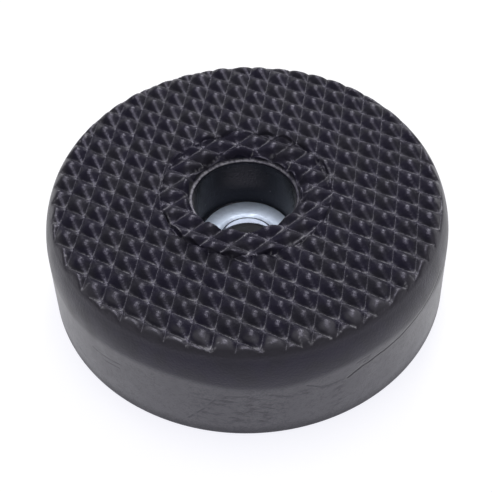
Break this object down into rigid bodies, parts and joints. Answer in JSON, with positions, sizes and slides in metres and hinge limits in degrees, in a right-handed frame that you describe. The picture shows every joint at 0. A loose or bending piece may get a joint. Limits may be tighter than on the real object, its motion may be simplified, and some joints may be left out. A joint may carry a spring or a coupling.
{
  "type": "rubber foot",
  "caption": "Round moulded rubber foot with a lozenge-pyramid tread and a steel washer at the bottom of its screw bore.",
  "frame": {"origin": "centre of the flat mounting face", "axes": "+Z along the bore axis, from the mounting face towards the tread; +X and +Y lie in the mounting face, and the long rows of the tread run 29.7 degrees clockwise of +X"},
  "size_m": [0.04, 0.04, 0.0118],
  "materials": {
    "rubber": "moulded black rubber with a faint bloom",
    "zinc_plate": "bright zinc plate"
  },
  "bodies": {
    "root": {"rubber_body": "rubber", "steel_washer": "zinc_plate"}
  },
  "joints": []
}
